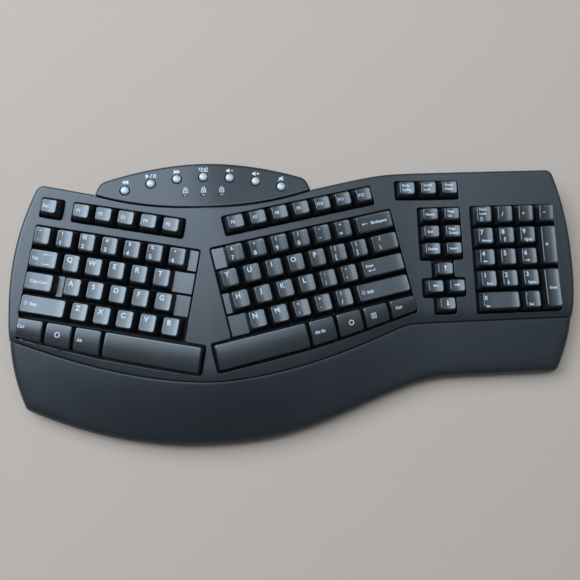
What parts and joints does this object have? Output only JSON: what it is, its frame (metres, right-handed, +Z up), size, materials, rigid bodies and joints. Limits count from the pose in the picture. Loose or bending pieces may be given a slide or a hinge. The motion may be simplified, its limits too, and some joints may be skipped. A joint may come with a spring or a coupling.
{
  "type": "ergonomic split keyboard",
  "caption": "Full-size split keyboard in one curved charcoal case with tented key halves, number pad, palm rest, media hood, battery bay and fold-out feet.",
  "frame": {"origin": "middle of the outline box at the table under the rubber pads", "axes": "+X to the right along the long side, +Y to the back, +Z up"},
  "size_m": [0.4904, 0.237, 0.0503],
  "materials": {
    "shell": "fine textured charcoal",
    "key_plastic": "smooth matte black",
    "inner_plastic": "moulded black",
    "silver_button": "silver painted",
    "steel": "plated",
    "backing": "mill",
    "cell": "plain wrapped",
    "rubber": "soft grey",
    "board": "green lacquer",
    "lens": "clear light pipe"
  },
  "bodies": {
    "case": {"base_tray": "shell", "top_case": "shell", "palm_rest": "shell", "media_hood": "shell", "key_frame_left": "inner_plastic", "key_frame_right": "inner_plastic", "key_frame_pad": "inner_plastic", "dome_sheets": "rubber", "backing_plates": "backing", "controller_board": "board", "media_board": "board", "battery_cells": "cell", "battery_contacts": "steel", "status_lenses": "lens", "case_screws": "steel", "rubber_pads": "rubber"},
    "battery_door": {"battery_door": "shell"},
    "power_slider": {"power_slider": "silver_button"},
    "tilt_foot_left": {"tilt_foot_left": "shell"},
    "tilt_foot_right": {"tilt_foot_right": "shell"},
    "media_rewind": {"media_rewind": "silver_button"},
    "media_play": {"media_play": "silver_button"},
    "media_forward": {"media_forward": "silver_button"},
    "media_link": {"media_link": "silver_button"},
    "media_quieter": {"media_quieter": "silver_button"},
    "media_louder": {"media_louder": "silver_button"},
    "media_mute": {"media_mute": "silver_button"},
    "escape_key": {"escape_key": "key_plastic"},
    "function_keys_left": {"function_keys_left": "key_plastic"},
    "function_keys_right": {"function_keys_right": "key_plastic"},
    "number_keys_left": {"number_keys_left": "key_plastic"},
    "tab_key": {"tab_key": "key_plastic"},
    "upper_keys_left": {"upper_keys_left": "key_plastic"},
    "caps_key": {"caps_key": "key_plastic"},
    "home_keys_left": {"home_keys_left": "key_plastic"},
    "shift_key_left": {"shift_key_left": "key_plastic"},
    "lower_keys_left": {"lower_keys_left": "key_plastic"},
    "control_key_left": {"control_key_left": "key_plastic"},
    "mark_key_left": {"mark_key_left": "key_plastic"},
    "alt_key_left": {"alt_key_left": "key_plastic"},
    "space_bar_left": {"space_bar_left": "key_plastic"},
    "number_keys_right": {"number_keys_right": "key_plastic"},
    "backspace_key": {"backspace_key": "key_plastic"},
    "upper_keys_right": {"upper_keys_right": "key_plastic"},
    "home_keys_right": {"home_keys_right": "key_plastic"},
    "enter_key": {"enter_key": "key_plastic"},
    "lower_keys_right": {"lower_keys_right": "key_plastic"},
    "shift_key_right": {"shift_key_right": "key_plastic"},
    "space_bar_right": {"space_bar_right": "key_plastic"},
    "alt_key_right": {"alt_key_right": "key_plastic"},
    "mark_key_right": {"mark_key_right": "key_plastic"},
    "menu_key": {"menu_key": "key_plastic"},
    "control_key_right": {"control_key_right": "key_plastic"},
    "system_keys": {"system_keys": "key_plastic"},
    "navigation_keys": {"navigation_keys": "key_plastic"},
    "arrow_keys": {"arrow_keys": "key_plastic"},
    "pad_keys": {"pad_keys": "key_plastic"},
    "pad_plus_key": {"pad_plus_key": "key_plastic"},
    "pad_enter_key": {"pad_enter_key": "key_plastic"},
    "pad_zero_key": {"pad_zero_key": "key_plastic"}
  },
  "joints": [
    {"name": "battery_door_slide", "type": "slide", "parent": "case", "child": "battery_door", "axis": [0, 1, 0], "range_m": [0, 0.034]},
    {"name": "power_slider_slide", "type": "slide", "parent": "case", "child": "power_slider", "axis": [1, 0, 0], "range_m": [0, 0.003]},
    {"name": "tilt_foot_left_hinge", "type": "hinge", "parent": "case", "child": "tilt_foot_left", "pos_m": [-0.19625, 0.087, 0.0036], "axis": [1, 0, 0], "range_deg": [0, 95]},
    {"name": "tilt_foot_right_hinge", "type": "hinge", "parent": "case", "child": "tilt_foot_right", "pos_m": [0.18525, 0.087, 0.0036], "axis": [1, 0, 0], "range_deg": [0, 95]},
    {"name": "media_rewind_press", "type": "slide", "parent": "case", "child": "media_rewind", "axis": [0, 0, -1], "range_m": [0, 0.001], "stiffness_N_per_m": 300, "springref_m": -0.001},
    {"name": "media_play_press", "type": "slide", "parent": "case", "child": "media_play", "axis": [0, 0, -1], "range_m": [0, 0.001], "stiffness_N_per_m": 300, "springref_m": -0.001},
    {"name": "media_forward_press", "type": "slide", "parent": "case", "child": "media_forward", "axis": [0, 0, -1], "range_m": [0, 0.001], "stiffness_N_per_m": 300, "springref_m": -0.001},
    {"name": "media_link_press", "type": "slide", "parent": "case", "child": "media_link", "axis": [0, 0, -1], "range_m": [0, 0.001], "stiffness_N_per_m": 300, "springref_m": -0.001},
    {"name": "media_quieter_press", "type": "slide", "parent": "case", "child": "media_quieter", "axis": [0, 0, -1], "range_m": [0, 0.001], "stiffness_N_per_m": 300, "springref_m": -0.001},
    {"name": "media_louder_press", "type": "slide", "parent": "case", "child": "media_louder", "axis": [0, 0, -1], "range_m": [0, 0.001], "stiffness_N_per_m": 300, "springref_m": -0.001},
    {"name": "media_mute_press", "type": "slide", "parent": "case", "child": "media_mute", "axis": [0, 0, -1], "range_m": [0, 0.001], "stiffness_N_per_m": 300, "springref_m": -0.001},
    {"name": "escape_key_press", "type": "slide", "parent": "case", "child": "escape_key", "axis": [0.1219, 0.0692, -0.9901], "range_m": [0, 0.0032], "stiffness_N_per_m": 200, "springref_m": -0.0025},
    {"name": "function_keys_left_press", "type": "slide", "parent": "case", "child": "function_keys_left", "axis": [0.1219, 0.0692, -0.9901], "range_m": [0, 0.0032], "stiffness_N_per_m": 200, "springref_m": -0.0025},
    {"name": "function_keys_right_press", "type": "slide", "parent": "case", "child": "function_keys_right", "axis": [-0.1219, 0.0692, -0.9901], "range_m": [0, 0.0032], "stiffness_N_per_m": 200, "springref_m": -0.0025},
    {"name": "number_keys_left_press", "type": "slide", "parent": "case", "child": "number_keys_left", "axis": [0.1219, 0.0692, -0.9901], "range_m": [0, 0.0032], "stiffness_N_per_m": 200, "springref_m": -0.0025},
    {"name": "tab_key_press", "type": "slide", "parent": "case", "child": "tab_key", "axis": [0.1219, 0.0692, -0.9901], "range_m": [0, 0.0032], "stiffness_N_per_m": 200, "springref_m": -0.0025},
    {"name": "upper_keys_left_press", "type": "slide", "parent": "case", "child": "upper_keys_left", "axis": [0.1219, 0.0692, -0.9901], "range_m": [0, 0.0032], "stiffness_N_per_m": 200, "springref_m": -0.0025},
    {"name": "caps_key_press", "type": "slide", "parent": "case", "child": "caps_key", "axis": [0.1219, 0.0692, -0.9901], "range_m": [0, 0.0032], "stiffness_N_per_m": 200, "springref_m": -0.0025},
    {"name": "home_keys_left_press", "type": "slide", "parent": "case", "child": "home_keys_left", "axis": [0.1219, 0.0692, -0.9901], "range_m": [0, 0.0032], "stiffness_N_per_m": 200, "springref_m": -0.0025},
    {"name": "shift_key_left_press", "type": "slide", "parent": "case", "child": "shift_key_left", "axis": [0.1219, 0.0692, -0.9901], "range_m": [0, 0.0032], "stiffness_N_per_m": 200, "springref_m": -0.0025},
    {"name": "lower_keys_left_press", "type": "slide", "parent": "case", "child": "lower_keys_left", "axis": [0.1219, 0.0692, -0.9901], "range_m": [0, 0.0032], "stiffness_N_per_m": 200, "springref_m": -0.0025},
    {"name": "control_key_left_press", "type": "slide", "parent": "case", "child": "control_key_left", "axis": [0.1219, 0.0692, -0.9901], "range_m": [0, 0.0032], "stiffness_N_per_m": 200, "springref_m": -0.0025},
    {"name": "mark_key_left_press", "type": "slide", "parent": "case", "child": "mark_key_left", "axis": [0.1219, 0.0692, -0.9901], "range_m": [0, 0.0032], "stiffness_N_per_m": 200, "springref_m": -0.0025},
    {"name": "alt_key_left_press", "type": "slide", "parent": "case", "child": "alt_key_left", "axis": [0.1219, 0.0692, -0.9901], "range_m": [0, 0.0032], "stiffness_N_per_m": 200, "springref_m": -0.0025},
    {"name": "space_bar_left_press", "type": "slide", "parent": "case", "child": "space_bar_left", "axis": [0.1219, 0.0692, -0.9901], "range_m": [0, 0.0032], "stiffness_N_per_m": 200, "springref_m": -0.0025},
    {"name": "number_keys_right_press", "type": "slide", "parent": "case", "child": "number_keys_right", "axis": [-0.1219, 0.0692, -0.9901], "range_m": [0, 0.0032], "stiffness_N_per_m": 200, "springref_m": -0.0025},
    {"name": "backspace_key_press", "type": "slide", "parent": "case", "child": "backspace_key", "axis": [-0.1219, 0.0692, -0.9901], "range_m": [0, 0.0032], "stiffness_N_per_m": 200, "springref_m": -0.0025},
    {"name": "upper_keys_right_press", "type": "slide", "parent": "case", "child": "upper_keys_right", "axis": [-0.1219, 0.0692, -0.9901], "range_m": [0, 0.0032], "stiffness_N_per_m": 200, "springref_m": -0.0025},
    {"name": "home_keys_right_press", "type": "slide", "parent": "case", "child": "home_keys_right", "axis": [-0.1219, 0.0692, -0.9901], "range_m": [0, 0.0032], "stiffness_N_per_m": 200, "springref_m": -0.0025},
    {"name": "enter_key_press", "type": "slide", "parent": "case", "child": "enter_key", "axis": [-0.1219, 0.0692, -0.9901], "range_m": [0, 0.0032], "stiffness_N_per_m": 200, "springref_m": -0.0025},
    {"name": "lower_keys_right_press", "type": "slide", "parent": "case", "child": "lower_keys_right", "axis": [-0.1219, 0.0692, -0.9901], "range_m": [0, 0.0032], "stiffness_N_per_m": 200, "springref_m": -0.0025},
    {"name": "shift_key_right_press", "type": "slide", "parent": "case", "child": "shift_key_right", "axis": [-0.1219, 0.0692, -0.9901], "range_m": [0, 0.0032], "stiffness_N_per_m": 200, "springref_m": -0.0025},
    {"name": "space_bar_right_press", "type": "slide", "parent": "case", "child": "space_bar_right", "axis": [-0.1219, 0.0692, -0.9901], "range_m": [0, 0.0032], "stiffness_N_per_m": 200, "springref_m": -0.0025},
    {"name": "alt_key_right_press", "type": "slide", "parent": "case", "child": "alt_key_right", "axis": [-0.1219, 0.0692, -0.9901], "range_m": [0, 0.0032], "stiffness_N_per_m": 200, "springref_m": -0.0025},
    {"name": "mark_key_right_press", "type": "slide", "parent": "case", "child": "mark_key_right", "axis": [-0.1219, 0.0692, -0.9901], "range_m": [0, 0.0032], "stiffness_N_per_m": 200, "springref_m": -0.0025},
    {"name": "menu_key_press", "type": "slide", "parent": "case", "child": "menu_key", "axis": [-0.1219, 0.0692, -0.9901], "range_m": [0, 0.0032], "stiffness_N_per_m": 200, "springref_m": -0.0025},
    {"name": "control_key_right_press", "type": "slide", "parent": "case", "child": "control_key_right", "axis": [-0.1219, 0.0692, -0.9901], "range_m": [0, 0.0032], "stiffness_N_per_m": 200, "springref_m": -0.0025},
    {"name": "system_keys_press", "type": "slide", "parent": "case", "child": "system_keys", "axis": [0, 0.0698, -0.9976], "range_m": [0, 0.0032], "stiffness_N_per_m": 200, "springref_m": -0.0025},
    {"name": "navigation_keys_press", "type": "slide", "parent": "case", "child": "navigation_keys", "axis": [0, 0.0698, -0.9976], "range_m": [0, 0.0032], "stiffness_N_per_m": 200, "springref_m": -0.0025},
    {"name": "arrow_keys_press", "type": "slide", "parent": "case", "child": "arrow_keys", "axis": [0, 0.0698, -0.9976], "range_m": [0, 0.0032], "stiffness_N_per_m": 200, "springref_m": -0.0025},
    {"name": "pad_keys_press", "type": "slide", "parent": "case", "child": "pad_keys", "axis": [0, 0.0698, -0.9976], "range_m": [0, 0.0032], "stiffness_N_per_m": 200, "springref_m": -0.0025},
    {"name": "pad_plus_key_press", "type": "slide", "parent": "case", "child": "pad_plus_key", "axis": [0, 0.0698, -0.9976], "range_m": [0, 0.0032], "stiffness_N_per_m": 200, "springref_m": -0.0025},
    {"name": "pad_enter_key_press", "type": "slide", "parent": "case", "child": "pad_enter_key", "axis": [0, 0.0698, -0.9976], "range_m": [0, 0.0032], "stiffness_N_per_m": 200, "springref_m": -0.0025},
    {"name": "pad_zero_key_press", "type": "slide", "parent": "case", "child": "pad_zero_key", "axis": [0, 0.0698, -0.9976], "range_m": [0, 0.0032], "stiffness_N_per_m": 200, "springref_m": -0.0025}
  ]
}
